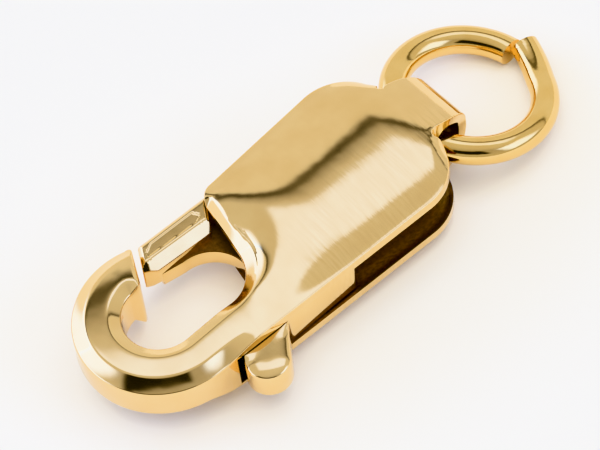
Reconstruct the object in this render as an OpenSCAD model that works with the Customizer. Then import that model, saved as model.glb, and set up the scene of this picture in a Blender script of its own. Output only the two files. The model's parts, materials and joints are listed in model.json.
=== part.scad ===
// Lobster clasp with a spring lever and a jump ring, in millimetres.
// +X points to the hook, +Y to the thumb knob, +Z up. The origin is the centre of the
// flat spot under the lower dome, on the surface that the clasp lies on.

/* [Body] */
// Length of the domed body, from its tail edge to its front lip
body_l = 5.85; // [5.4:0.05:6.6]
// Width of the body across its tail
tail_w = 5.05; // [4.8:0.05:5.6]
// Width of the body across its front lip
front_w = 4.65; // [4.5:0.05:5]
// Radius of the two tail corners, seen from above
tail_r = 1.55; // [1.2:0.05:1.8]
// Radius of the front corner beside the gate
shoulder_r = 0.5; // [0.3:0.05:0.8]
// Thickness of the sheet metal
sheet = 0.3; // [0.25:0.01:0.35]
// Height of the slot between the two plates
slot_h = 1.2; // [1.1:0.05:1.5]
// Rise of each dome above its rim
dome_rise = 0.5; // [0.4:0.05:0.7]
// Distance from the rim over which a dome rises
dome_run = 1.8; // [1.5:0.05:2]
// Wall left at the front lip of each hollow plate
lip_wall = 0.4; // [0.3:0.05:0.6]

/* [Hook] */
// Outer radius of the hook's bend
hook_r = 2.45; // [2.3:0.05:2.8]
// Width of the hook's bar
bar_w = 1.38; // [1.2:0.02:1.5]
// Thickness of the hook
hook_h = 2.05; // [1.9:0.05:2.2]
// Distance from the front lip to the centre of the hook's bend
hook_reach = 3.27; // [3.1:0.01:4]
// Width and height of the bevel round the outside of the hook
bevel_out = 0.35; // [0.2:0.05:0.4]
// Width of the bevel round the inside of the hook
bevel_in = 0.4; // [0.2:0.05:0.4]
// Angle that the bend covers past the side of the gate
tip_angle = 23; // [15:1:24]
// Angle of the cut across the hook's tip
tip_cut_angle = 28; // [20:1:35]
// Thickness of the wall between the opening and the thumb arm
inner_wall = 0.43; // [0.35:0.01:0.5]

/* [Strap loop] */
// Width of the strap that folds over the jump ring
strap_w = 1.9; // [1.7:0.05:2]
// Length of the strap before its bend
strap_l = 0.28; // [0.2:0.01:0.5]
// Radius of the notch on each side of the strap
notch_r = 0.3; // [0.2:0.02:0.4]

/* [Lever] */
// Gap between the lever and each face beside it
lever_gap = 0.05; // [0.03:0.01:0.08]
// Distance from the front lip back to the pivot
pivot_back = 1.0; // [0.9:0.05:1.2]
// Distance from the middle of the body to the pivot, towards the gate
pivot_offset = 0.85; // [0.7:0.05:1]
// Radius of the pivot pin
pin_r = 0.4; // [0.3:0.02:0.45]
// Running clearance round the pivot pin
pin_clear = 0.05; // [0.03:0.01:0.08]
// Depth of each blind hole that holds the pin
pin_seat = 0.3; // [0.2:0.05:0.35]
// Gap between the pin and the hole that it is pressed into
seat_gap = 0.02; // [0.01:0.01:0.03]
// Width of the gate
gate_w = 0.85; // [0.7:0.05:0.95]
// Gap between the gate's end and the hook's tip
tip_gap = 0.3; // [0.2:0.05:0.4]
// Inset of the lever's sides from the rims of the plates
side_inset = 0.12; // [0.08:0.02:0.2]
// Width of the bevel along the gate's upper and lower edges
gate_bevel = 0.18; // [0.1:0.02:0.25]
// Slant of the gate's end across its width
gate_end_angle = 12; // [5:1:20]
// Distance from the front lip to the rear end of the raised gate
gate_ahead = 0.36; // [0.3:0.02:0.5]
// Height of the low web beside the gate, above the clasp's middle plane
web_top = 0.05; // [0:0.05:0.2]
// Distance from the rear of the hook's opening to the middle of its round end
rear_ahead = 0.36; // [0.3:0.02:0.45]
// Radius of the thumb knob
knob_r = 0.65; // [0.55:0.05:0.75]
// Distance from the rim to the centre of the knob
knob_out = 0.46; // [0.4:0.02:0.6]
// Distance from the centre of the hook's bend back to the centre of the knob
knob_back = 1.2; // [1.1:0.02:1.5]
// Length of the knob's slanted rear flank, along the clasp
flank_l = 1.2; // [1:0.05:1.4]
// Angle of the flank to the length of the clasp
flank_angle = 51; // [45:1:60]
// Reach of the knob's neck in front of the knob's centre
neck_front = 0.4; // [0.3:0.02:0.5]
// Angle round the knob at which its neck begins
neck_angle = 20; // [10:1:30]
// Distance from the pivot back to the lever's rear edge
lever_back = 1.2; // [1:0.05:1.5]

/* [Jump ring] */
// Radius of the ring, to the middle of its wire
ring_r = 2.12; // [2.05:0.01:2.3]
// Radius of the ring's wire
wire_r = 0.405; // [0.35:0.005:0.42]
// Gap between the ring's cut ends
cut_gap = 0.15; // [0.1:0.05:0.3]
// Angle from the clasp's length to the cut, round the ring
cut_angle = 10; // [0:5:40]
// Play between the ring and the edges of the strap's bend
ring_play = 0.11; // [0.1:0.01:0.2]
// Distance from the middle of the wire back to the axis that the ring swings about
swing_back = 0.17; // [0.12:0.01:0.2]

/* [Hidden] */
$fn = 64;
// Overlap of joined solids and overshoot of cuts
eps = 0.01;
// Smallest radius of a plate's corner
corner_min = 0.02;
// Heights above the clasp's middle plane
rim_low = slot_h / 2;
rim_high = rim_low + sheet;
mid_z = rim_high + dome_rise;
hook_top = hook_h / 2;
lever_top = rim_low - lever_gap;
// Body outline
lip_x = body_l / 2;
tail_x = -body_l / 2;
taper = (tail_w - front_w) / 2 / body_l;
function edge_y(x) = front_w / 2 + taper * (lip_x - x);
// Hook
bend_x = lip_x + hook_reach;
bend_y = edge_y(bend_x) - hook_r;
bend_in = hook_r - bar_w;
spine_in = bend_y + bend_in;
spine_rear = lip_x + bend_in;
tip = [bend_x - hook_r * sin(tip_angle), bend_y - hook_r * cos(tip_angle)];
// Strap's bend
strap_x = tail_x - strap_l;
// Lever
pivot = [lip_x - pivot_back, -pivot_offset];
knob_x = bend_x - knob_back;
knob = [knob_x, edge_y(knob_x) + knob_out];
slot_front = knob_x + knob_r;
wall_y = spine_in + inner_wall;
arm_in = wall_y + lever_gap;
gate_out = side_inset - edge_y(lip_x);
gate_in = gate_out + gate_w;
gate_rear = lip_x + gate_ahead;
gate_end = tip[0] + (gate_out - tip[1]) * tan(tip_cut_angle) - tip_gap;
// Round rear end of the opening, cut into the lever
rear_r = (spine_in - gate_in) / 2;
rear = [spine_rear + rear_ahead, (spine_in + gate_in) / 2];
// Jump ring
ring_in = ring_r - wire_r;
wire_x = strap_x - rim_low + ring_play + ring_r - sqrt(pow(ring_in, 2) - pow(strap_w / 2, 2));
swing_x = wire_x - swing_back;
ring_tilt = asin((mid_z - wire_r - eps) / (2 * ring_r - swing_back));
cut_half = asin(cut_gap / 2 / ring_in);

// Section of a dome: share of its run in from the rim, and share of its rise
DOME = [[0, 0], [0.05, 0.25], [0.16, 0.5], [0.36, 0.75], [0.65, 0.93], [1, 1]];

// One corner disc of a plate, drawn in from the corner at x, y by an inset
module corner(x, y, sx, sy, r, inset, z, h) {
    step = max(r, inset);
    translate([x + sx * step, y + sy * step, z]) cylinder(h = h, r = max(r - inset, corner_min), $fn = 32);
}

// The four corners of one level of a plate
module level(inset, z, h) {
    corner(tail_x, edge_y(tail_x), 1, -1, tail_r, inset, z, h);
    corner(tail_x, -edge_y(tail_x), 1, 1, tail_r, inset, z, h);
    corner(lip_x, edge_y(lip_x), -1, -1, shoulder_r, inset, z, h);
    corner(lip_x, -edge_y(lip_x), -1, 1, shoulder_r, inset, z, h);
}

// Outside of the upper plate: rim, dome and the stretch that runs down into the hook
module plate_outside() {
    hull() {
        level(0, rim_low, sheet);
        for (row = DOME) level(row[0] * dome_run, rim_high + row[1] * dome_rise - eps, eps);
        corner(bend_x, edge_y(bend_x), -1, -1, bevel_out, 0, rim_low, sheet);
        corner(bend_x, edge_y(bend_x), -1, -1, 2 * bevel_out, bevel_out, rim_low, hook_top - rim_low);
    }
}

// Hollow under the dome, less the solid round the pin's seat and at the lip
module plate_hollow() {
    difference() {
        hull() for (row = DOME)
            level(sheet + row[0] * (dome_run - sheet), rim_low + row[1] * dome_rise - eps, eps);
        translate(pivot) cylinder(h = mid_z, r = pin_r + sheet);
        translate([lip_x - lip_wall, -tail_w, 0]) cube([body_l, 2 * tail_w, mid_z]);
    }
}

// Plan of the opening in front of the lip, out past the side of the gate
module opening_plan() {
    translate([lip_x, bend_y - tail_w]) square([hook_reach, tail_w]);
    translate([spine_rear, bend_y - tail_w]) square([hook_reach - bend_in, tail_w + bend_in]);
    translate([spine_rear, bend_y]) circle(r = bend_in);
    translate([bend_x, bend_y]) circle(r = bend_in);
}

// Section of the hook's bar, from its inner to its outer radius
module bar_section() {
    polygon([
        [bend_in, bevel_out - hook_top], [bend_in + bevel_in, -hook_top],
        [hook_r - bevel_out, -hook_top], [hook_r, bevel_out - hook_top],
        [hook_r, hook_top - bevel_out], [hook_r - bevel_out, hook_top],
        [bend_in + bevel_in, hook_top], [bend_in, hook_top - bevel_out]
    ]);
}

// The hook's bend with its slanted tip, and the straight spine behind it
module hook_bar() {
    difference() {
        translate([bend_x, bend_y, 0]) rotate([0, 0, -90 - tip_angle])
            rotate_extrude(angle = 180 + tip_angle) bar_section();
        translate([tip[0], tip[1], -hook_h]) rotate([0, 0, -tip_cut_angle])
            translate([-bar_w, -bar_w / 2, 0]) cube([bar_w, 2 * bar_w, 2 * hook_h]);
    }
    translate([spine_rear, bend_y, 0]) rotate([90, 0, 90])
        linear_extrude(height = bend_x - spine_rear + eps) bar_section();
}

// The strap that folds down from the upper plate and back to the lower one
module strap() {
    for (z = [rim_low, -rim_high]) translate([strap_x, -strap_w / 2, z])
        cube([strap_l + sheet + eps, strap_w, sheet]);
    translate([strap_x, strap_w / 2, 0]) rotate([90, 0, 0]) rotate([0, 0, 90])
        rotate_extrude(angle = 180) translate([rim_low, 0]) square([sheet, strap_w]);
}

module clasp_body() color("goldenrod") translate([0, 0, mid_z]) {
    difference() {
        union() {
            difference() {
                for (side = [0, 1]) mirror([0, 0, side]) plate_outside();
                translate([0, 0, -mid_z]) linear_extrude(height = 2 * mid_z) opening_plan();
            }
            hook_bar();
        }
        for (side = [0, 1]) mirror([0, 0, side]) plate_hollow();
        translate([tail_x - eps, -tail_w, -rim_low]) cube([spine_rear - tail_x + eps, 2 * tail_w, slot_h]);
        translate([lip_x, wall_y, -rim_low]) cube([slot_front - lip_x, tail_w, slot_h]);
        translate(pivot) cylinder(h = slot_h + 2 * pin_seat, r = pin_r + seat_gap, center = true);
        for (side = [-1, 1]) translate([tail_x, side * (strap_w / 2 + notch_r), 0])
            cylinder(h = 2 * mid_z, r = notch_r, center = true);
    }
    strap();
}

// Plan of the lever: gate, web under the plates, thumb arm and knob
module lever_plan() {
    difference() {
        union() {
            polygon([
                [pivot[0], gate_out], [gate_end, gate_out],
                [gate_end + gate_w * tan(gate_end_angle), gate_in], [pivot[0], gate_in]
            ]);
            polygon([
                [pivot[0] - lever_back / 2, gate_out],
                [pivot[0], gate_out], [spine_rear, gate_in],
                [spine_rear - 2 * lever_gap, spine_in], [spine_rear - 2 * lever_gap, arm_in],
                [knob_x + neck_front, arm_in],
                [knob_x + neck_front, edge_y(knob_x) - side_inset],
                [pivot[0] - lever_back / 2, edge_y(pivot[0]) - side_inset],
                [pivot[0] - lever_back, arm_in],
                [pivot[0] - lever_back, pivot[1]]
            ]);
            polygon([
                [knob_x + neck_front, arm_in],
                [knob_x + knob_r * cos(neck_angle), knob[1] - knob_r * sin(neck_angle)],
                knob, [knob_x - knob_r * sin(flank_angle), knob[1] + knob_r * cos(flank_angle)],
                [knob_x - flank_l, edge_y(knob_x) - side_inset], [knob_x - flank_l, arm_in]
            ]);
            translate(knob) circle(r = knob_r);
        }
        translate(rear) circle(r = rear_r);
        translate(pivot) circle(r = pin_r + pin_clear);
    }
}

// Bevels along the gate's four long edges
module gate_bevels() {
    for (y = [gate_out, gate_in], z = [-lever_top, lever_top])
        translate([gate_rear, y, z]) rotate([45, 0, 0])
            translate([0, -gate_bevel / sqrt(2), -gate_bevel / sqrt(2)])
                cube([hook_reach, sqrt(2) * gate_bevel, sqrt(2) * gate_bevel]);
}

// Recess that leaves a low web between the lip, the raised gate and the opening
module web_recess() {
    translate([0, 0, web_top]) linear_extrude(height = lever_top - web_top + eps) difference() {
        opening_plan();
        translate([gate_rear, gate_out - eps]) square([hook_reach, gate_w + eps]);
    }
}

module lever() color("gold") translate([0, 0, mid_z]) difference() {
    translate([0, 0, -lever_top]) linear_extrude(height = 2 * lever_top) lever_plan();
    gate_bevels();
    web_recess();
}

module pivot_pin() color("darkgoldenrod") translate([pivot[0], pivot[1], mid_z]) {
    cylinder(h = slot_h + 2 * pin_seat, r = pin_r, center = true);
}

// The ring hangs in the strap's bend and lies down on the surface, cut open at its far side
module jump_ring() color("khaki")
    translate([swing_x, 0, mid_z]) rotate([0, -ring_tilt, 0]) translate([swing_back - ring_r, 0, 0])
        rotate([0, 0, 180 + cut_angle + cut_half]) rotate_extrude(angle = 360 - 2 * cut_half)
            translate([ring_r, 0]) circle(r = wire_r);

clasp_body();
lever();
pivot_pin();
jump_ring();
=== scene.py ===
"""A small gold lobster clasp lying on a white table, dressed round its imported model.

Run as a script, it builds the clasp's visible pieces, their finishes, the table, the light and the
camera. Sizes are in metres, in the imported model's own frame: +X to the hook, +Y to the thumb knob.
"""
import json
import math

import bpy
import numpy as np
from mathutils import Matrix, Vector
from mathutils.geometry import delaunay_2d_cdt


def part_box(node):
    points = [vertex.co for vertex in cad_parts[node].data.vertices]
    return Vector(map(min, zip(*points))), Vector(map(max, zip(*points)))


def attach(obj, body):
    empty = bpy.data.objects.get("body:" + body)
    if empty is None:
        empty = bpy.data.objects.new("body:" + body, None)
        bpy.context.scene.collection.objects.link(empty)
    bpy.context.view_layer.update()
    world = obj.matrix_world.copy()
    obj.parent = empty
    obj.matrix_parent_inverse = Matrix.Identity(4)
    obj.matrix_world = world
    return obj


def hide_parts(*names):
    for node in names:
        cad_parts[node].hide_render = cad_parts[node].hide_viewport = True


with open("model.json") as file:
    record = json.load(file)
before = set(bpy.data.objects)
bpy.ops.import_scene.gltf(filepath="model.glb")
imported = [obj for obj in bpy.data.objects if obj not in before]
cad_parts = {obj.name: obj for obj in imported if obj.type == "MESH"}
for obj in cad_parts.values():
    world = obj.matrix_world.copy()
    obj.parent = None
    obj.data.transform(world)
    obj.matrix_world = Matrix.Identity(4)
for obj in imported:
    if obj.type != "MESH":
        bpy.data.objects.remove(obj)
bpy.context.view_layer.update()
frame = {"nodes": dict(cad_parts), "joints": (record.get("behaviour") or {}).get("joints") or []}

bl_info = {
    "name": "Lobster clasp",
    "version": (1, 0, 0),
    "blender": (4, 5, 0),
    "location": "View3D > Sidebar > Clasp",
    "description": "Builds a gold lobster clasp with its jump ring, on a white table",
    "category": "Object",
}

MM = 0.001
BODY_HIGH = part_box("clasp_body")[1]
# Height of the plane halfway between the two plates
MID_Z = BODY_HIGH.z / 2
JOINTS = {joint["name"]: joint for joint in frame["joints"]}
PIVOT = JOINTS["lever_pivot"]["pos_m"]
RING_AXIS = JOINTS["ring_swing"]["pos_m"]
# Distance from the middle of the ring's wire back to the axis that it swings about
SWING_BACK = 0.17 * MM
# Gap left between the ring's far side and the table
RING_LIFT = 0.01 * MM
# How sharply the ring's sprung end leaves the circle
FLARE_POWER = 1.7
# Slant of each cut end of the ring: the plain end first, then the sprung one
CUT_SLANTS = ((1, 0.15), (-1, 0.75))
# Angle from a cut within which a point belongs to the ring's end face
END_FACE = math.radians(0.35)
# Depths of the rows of points inside the body's outline, in millimetres
EDGE_ROWS = (0.006, 0.018, 0.035, 0.06, 0.1, 0.15, 0.2, 0.26, 0.32, 0.36, 0.4, 0.44, 0.52, 0.6)
# The same for the thumb arm and for the gate
ARM_ROWS = (0.09, 0.14, 0.2, 0.26, 0.34, 0.42, 0.5)
GATE_ROWS = (0.06, 0.09, 0.12, 0.15, 0.18, 0.21, 0.24, 0.27, 0.3, 0.34)
# Stretches over which one form passes into the next, in millimetres along or across the clasp
STRETCHES = {
    "beside the strap": (0.9, 1.65),
    "ahead of the strap": (-2.2, -1.6),
    "lip to spine": (-0.6, 1.2),
    "lip roll begins": (-1.7, 0.5),
    "lip roll ends": (3.8, 5.0),
    "body to hook": (3.6, 5.6),
    "body to hook at the edge": (4.6, 6.1),
    "gate side to hook": (3.6, 4.6),
    "inner bevel lifts": (3.9, 5.2),
    "lip bevel across": (-1.0, 0.0),
    "lip bevel along": (4.2, 5.0),
    "low bevel at the tip": (4.3, 4.8),
    "low bevel at the bend": (5.8, 6.8),
    "tip bevel": (1.0, 1.4),
    "marks across": (0.0, 0.6),
    "marks along": (2.2, 3.0),
}
# Widths in millimetres and slopes of the gate's bevels: outer, front, corner, inner and rear edge
GATE_BEVELS = ((0.1, 0.9), (0.12, 1.0), (0.22, 1.0), (0.3, 1.0), (0.09, 1.2))
# Light from all round, along the arc over the clasp from the far side to the camera's: degrees, level
SKY = ((0, 0.88), (48, 0.88), (50.2, 0.08), (52.2, 0.08), (55, 0.45), (60, 0.74), (90, 0.78), (112, 0.72),
       (130, 0.5), (180, 0.65))
# Soft light overhead: first and last degree of that arc, soft edge, the same to the sides
OVERHEAD = (63, 83, 2.5, -19, 34, 4)
# Soft side panels: lowest and highest elevation, first and last direction, soft edge, strength
SIDE_PANELS = ((2, 32, -88, -12, 5, 4.2), (14, 42, 101, 140, 4, 3.6))
# Dark gap between the panels: lowest and highest elevation, soft edge, directions, soft edge, share
DARK_GAP = (23, 47, 2, -3, 80, 4, 0.97)


def length(name, millimetres, description):
    """A size property whose default is given in millimetres."""
    return bpy.props.FloatProperty(
        name=name, description=description, default=millimetres * MM, unit="LENGTH", precision=5)


def angle(name, degrees, description):
    """An angle property whose default is given in degrees."""
    return bpy.props.FloatProperty(
        name=name, description=description, default=math.radians(degrees), subtype="ANGLE")


def number(name, default, description):
    """A plain number property."""
    return bpy.props.FloatProperty(name=name, description=description, default=default, precision=4)


def colour(name, hex_value, description):
    """A colour property from an sRGB hex value."""
    return bpy.props.FloatVectorProperty(
        name=name, description=description, default=linear(hex_value), size=4, subtype="COLOR")


def linear(hex_value):
    """The linear RGBA of an sRGB hex value."""
    channels = [int(hex_value[i:i + 2], 16) / 255 for i in (1, 3, 5)]
    return tuple(c / 12.92 if c <= 0.04045 else ((c + 0.055) / 1.055) ** 2.4 for c in channels) + (1.0,)


class ClaspBodySettings(bpy.types.PropertyGroup):
    """Sizes of the two domed plates, the hook and the strap."""

    lip_x: length("Lip", 2.925, "Distance from the body's middle to its front lip")
    front_w: length("Front width", 4.65, "Width of the body across its front lip")
    tail_w: length("Tail width", 5.05, "Width of the body across its tail")
    tail_r: length("Tail corners", 1.55, "Radius of the tail corners, seen from above")
    shoulder_r: length("Shoulder", 0.5, "Radius of the front corner beside the gate")
    sheet: length("Sheet", 0.3, "Thickness of the plates")
    slot_h: length("Slot", 1.2, "Height of the slot between the plates")
    crown: length("Crown", 0.45, "Drop of the dome from its middle to the start of its edge")
    crown_power: number("Crown power", 2.0, "How much the crown's curve gathers towards the sides")
    edge_run: length("Edge run", 0.8, "Width of the rounded edge round the dome")
    edge_power: number("Edge power", 3.5, "How tightly the dome's edge turns down")
    front_start: length("Front start", 1.05, "Where the dome starts to fall towards the lip")
    front_run: length("Front run", 1.9, "Length over which the dome falls towards the lip")
    front_share: number("Front share", 1.0, "Share of the dome's rise lost at the gate's side of the lip")
    spine_share: number("Spine share", 0.75, "Share of the dome's rise that is lost along the spine")
    spine_end: length("Spine end", 4.6, "Where the dome's fall ends along the spine")
    hook_r: length("Hook radius", 2.45, "Outer radius of the hook's bend")
    bar_w: length("Bar width", 1.38, "Width of the hook's bar")
    hook_h: length("Hook height", 2.05, "Thickness of the hook")
    hook_reach: length("Hook reach", 3.27, "Distance from the lip to the centre of the bend")
    hook_fall: length("Hook fall", 0.11, "How far the hook's top falls from its inner to its outer side")
    bevel_out: length("Outer bevel", 0.4, "Width of the bevel outside the hook")
    bevel_in: length("Inner bevel", 0.39, "Width of the bevel inside the hook")
    bevel_in_h: length("Inner bevel height", 0.23, "Height of the bevel inside the hook")
    bevel_low: length("Lower bevel", 0.35, "How much taller the hook's bevels are underneath")
    lip_lean: angle("Lip lean", 13.5, "Angle by which the lip leans forward from the shoulder")
    lip_r: length("Lip corner", 1.33, "Radius where the lip turns into the spine")
    lip_roll: length("Lip roll", 0.4, "Width of the strip beside the lip's bevel where the dome turns down")
    lip_fall: length("Lip fall", 0.015, "How far the dome turns down there")
    lip_edge: length("Lip edge", 0.04, "Height left of the sheet's edge under the bevel at the lip")
    lip_slope: number("Lip slope", 1.35, "Slope of the bevel along the lip")
    bevel_tip: length("Tip bevel", 0.12, "Width of the bevel round the hook's tip")
    tip_angle: angle("Tip angle", 23, "Angle that the bend covers past the gate's side")
    tip_cut: angle("Tip cut", 30, "Slant of the cut across the hook's tip")
    inner_wall: length("Inner wall", 0.43, "Wall between the opening and the thumb arm")
    slot_front: length("Slot front", 5.645, "Front end of the thumb arm's slot")
    strap_w: length("Strap width", 2.0, "Width of the strap at its root")
    strap_taper: number("Strap taper", 0.25, "Share of its width that the strap loses at its bend")
    tail_start: length("Tail start", 1.9, "Distance from the body's middle to where the tail falls")
    tail_reach: length("Tail reach", 2.37, "Distance from there to the strap's outermost line")
    strap_l: length("Strap length", 0.48, "Length of the strap before its bend")
    notch_r: length("Notch", 0.12, "Radius of the notch on each side of the strap")
    bevel_slope: number("Bevel slope", 0.95, "Slope of the bevel between the lip and the hook")
    ridge: length("Ridge", 0.025, "Softness of the ridges along the bevels")
    tip_out: length("Outer tip corner", 0.16, "Radius of the outer corner of the hook's tip")
    tip_in: length("Inner tip corner", 0.22, "Radius of the inner corner of the hook's tip")
    fillet: length("Edge fillet", 0.035, "Radius of the polished edges")
    step: length("Mesh step", 0.06, "Distance between the mesh's points along the outline")


class LeverSettings(bpy.types.PropertyGroup):
    """Sizes of the gate, the thumb arm and the knob."""

    half_h: length("Half height", 0.55, "Half of the lever's height")
    web_top: length("Web top", 0.05, "Height of the web's top above the clasp's middle plane")
    gate_h: length("Gate height", 0.585, "Height of the gate's top above the middle plane")
    gate_out: length("Gate outside", -2.33, "Place of the gate's outer rear corner across the clasp")
    gate_w: length("Gate width", 0.87, "Width of the gate at its rear")
    tip_w: length("Gate tip width", 0.65, "Width of the gate at its slanted front end")
    gate_turn: angle("Gate turn", 3.0, "Angle by which the gate stands outward")
    gate_rear: length("Gate rear", 2.6, "Place of the gate's outer rear corner")
    gate_slant: length("Gate rear slant", 0.64, "How far forward the gate's inner rear corner stands")
    gate_end: length("Gate end", 5.05, "Place of the gate's outer front corner")
    gate_tip: length("Gate tip", 5.45, "Place of the gate's inner front corner")
    gate_cut: length("Gate corner", 0.37, "Length of the cut at the gate's inner front corner")
    panel_sink: length("Panel sink", 0.02, "Depth of the bare panel on the gate")
    rear_x: length("Round end", 4.355, "Middle of the opening's round rear end, along the clasp")
    back: length("Lever back", 1.2, "Distance from the pivot back to the lever's rear edge")
    side_inset: length("Side inset", 0.12, "Inset of the lever from the rims of the plates")
    gap: length("Gap", 0.05, "Gap between the lever and the faces beside it")
    knob_x: length("Knob", 4.995, "Place of the knob along the clasp")
    knob_out: length("Knob reach", 0.46, "Distance from the rim to the knob's centre")
    knob_dome: length("Knob dome", 0.55, "Width of the rounded edge of the knob's top")
    knob_r: length("Knob radius", 0.65, "Radius of the knob")
    flank_l: length("Flank length", 1.2, "Length of the knob's slanted rear flank")
    flank_angle: angle("Flank angle", 51, "Angle of the flank to the length of the clasp")
    neck_front: length("Neck front", 0.4, "Reach of the neck in front of the knob's centre")
    neck_angle: angle("Neck angle", 20, "Angle round the knob at which its neck begins")
    pin_hole: length("Pin hole", 0.45, "Radius of the hole round the pin")
    fillet: length("Edge fillet", 0.05, "Radius of the polished edges")
    step: length("Mesh step", 0.05, "Distance between the mesh's points along the outline")


class JumpRingSettings(bpy.types.PropertyGroup):
    """Sizes of the cut ring."""

    radius: length("Radius", 2.12, "Radius to the middle of the wire")
    wire: length("Wire", 0.405, "Radius of the wire")
    cut_angle: angle("Cut angle", 10, "Angle from the far side to the cut")
    cut_gap: angle("Cut gap", 2.5, "Half of the angle that the cut leaves open")
    flare_start: angle("Flare start", 34, "Angle before the cut at which the sprung end leaves the circle")
    flare_out: length("Flare out", 0.34, "How far the sprung end stands out")
    flare_up: length("Flare up", 0.12, "How far the sprung end stands up")
    along: bpy.props.IntProperty(name="Points along", description="Points along the wire", default=288)
    around: bpy.props.IntProperty(name="Points around", description="Points round the wire", default=48)


class FinishSettings(bpy.types.PropertyGroup):
    """Colours and polish of the gold."""

    # The inner gold's dark brown is painted shade for the recesses inside the clasp; the metal there is
    # also rough
    inner_gold_painted_shade: colour("Inner gold", "#80592A", "Unpolished metal inside the clasp")
    gold: colour("Gold", "#F5D395", "Polished yellow gold")
    wire_gold: colour("Wire gold", "#F3CE86", "Gold of the drawn wire")
    roughness: number("Roughness", 0.085, "Roughness of the polished faces")
    scratch_mm: number("Scratch width", 0.09, "Width of a polishing scratch, in millimetres")


class StageSettings(bpy.types.PropertyGroup):
    """The table, the light and the camera."""

    table: colour("Table", "#FBFAEF", "White table")
    azimuth: angle("Azimuth", 145.33, "Direction of the camera round the clasp")
    elevation: angle("Elevation", 56.56, "Height of the camera above the horizon")
    roll: angle("Roll", -10.05, "Roll of the picture")
    distance: length("Distance", 194.24, "Distance of the camera from the clasp")
    softbox: number("Softbox", 1.6, "Strength of the large soft light overhead")
    panel_colour: colour("Panel colour", "#97B5FF", "Daylight colour of the soft lights")
    table_light_colour: colour("Table light colour", "#FFF3E0", "Warm colour of the light on the table")
    table_light: number("Table light", 2.1, "Strength of the soft light on the table")
    table_light_spread: angle("Table light spread", 70, "Angle over which the light on the table is spread")
    table_reach: length("Table reach", 2000, "Distance from the clasp to each edge of the table")
    lens: number("Lens", 426.0, "Focal length in millimetres, for a sensor 36 mm wide")
    aim_x: length("Aim along", 1.284, "Place along the clasp that the camera looks at")
    aim_y: length("Aim across", -0.029, "Place across the clasp that the camera looks at")


def settings(name):
    """The scene's property group of that name."""
    return getattr(bpy.context.scene, name)


def smooth(value, low, high):
    """0 below low, 1 above high, and a smooth rise between."""
    share = np.clip((value - low) / (high - low), 0.0, 1.0)
    return share * share * (3 - 2 * share)


def stretch(value, name):
    """0 before a named stretch, 1 after it, and a smooth rise between."""
    low, high = STRETCHES[name]
    return smooth(value, low * MM, high * MM)


def toward(degrees):
    """The direction at an angle in degrees."""
    return np.array([math.cos(math.radians(degrees)), math.sin(math.radians(degrees))])


def bearing(vector):
    """The angle of a direction, in degrees."""
    return math.degrees(math.atan2(vector[1], vector[0]))


def arc(centre, radius, start, end, step):
    """Points on an arc between two angles in degrees, the last one left out."""
    count = max(2, int(abs(math.radians(end - start)) * radius / step))
    angles = np.radians(np.linspace(start, end, count, endpoint=False))
    return np.stack([centre[0] + radius * np.cos(angles), centre[1] + radius * np.sin(angles)], 1)


def line(start, end, step):
    """Points from start towards end, the last one left out."""
    count = max(1, int(math.dist(start, end) / step))
    share = np.linspace(0, 1, count, endpoint=False)[:, None]
    return np.array(start)[None] * (1 - share) + np.array(end)[None] * share


def distance(points, path, closed=False):
    """Distance of each point from a path of straight stretches."""
    ends = np.roll(path, -1, 0) if closed else path[1:]
    starts = path if closed else path[:-1]
    best = np.full(len(points), np.inf)
    along = ends - starts
    squares = np.maximum((along ** 2).sum(1), 1e-18)
    for first in range(0, len(points), 2000):
        chunk = points[first:first + 2000, None]
        share = np.clip(((chunk - starts) * along).sum(2) / squares, 0, 1)
        gap = chunk - (starts + share[..., None] * along)
        best[first:first + 2000] = np.sqrt((gap ** 2).sum(2).min(1))
    return best


def inside(points, outline):
    """True for each point inside a closed outline."""
    x, y = points[:, 0], points[:, 1]
    result = np.zeros(len(points), bool)
    for (x0, y0), (x1, y1) in zip(outline, np.roll(outline, -1, 0)):
        crosses = (y0 > y) != (y1 > y)
        if y0 != y1:
            result ^= crosses & (x < (x1 - x0) * (y - y0) / (y1 - y0) + x0)
    return result


def offset_rings(outline, depths, step, hole=False):
    """Points at set depths inside an outline, or round a hole, spaced about a step apart."""
    tangent = np.roll(outline, -1, 0) - np.roll(outline, 1, 0)
    normal = np.stack([-tangent[:, 1], tangent[:, 0]], 1)
    normal /= np.linalg.norm(normal, axis=1)[:, None]
    rings = []
    for depth in depths:
        ring = outline + normal * depth
        keep = (inside(ring, outline) != hole) & (distance(ring, outline, True) > depth * 0.985)
        ring = ring[keep]
        if depth > step:
            spaced = [ring[0]]
            for point in ring[1:]:
                if np.linalg.norm(point - spaced[-1]) > step * 0.7:
                    spaced.append(point)
            ring = np.array(spaced)
        rings.append(ring)
    return rings


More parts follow.
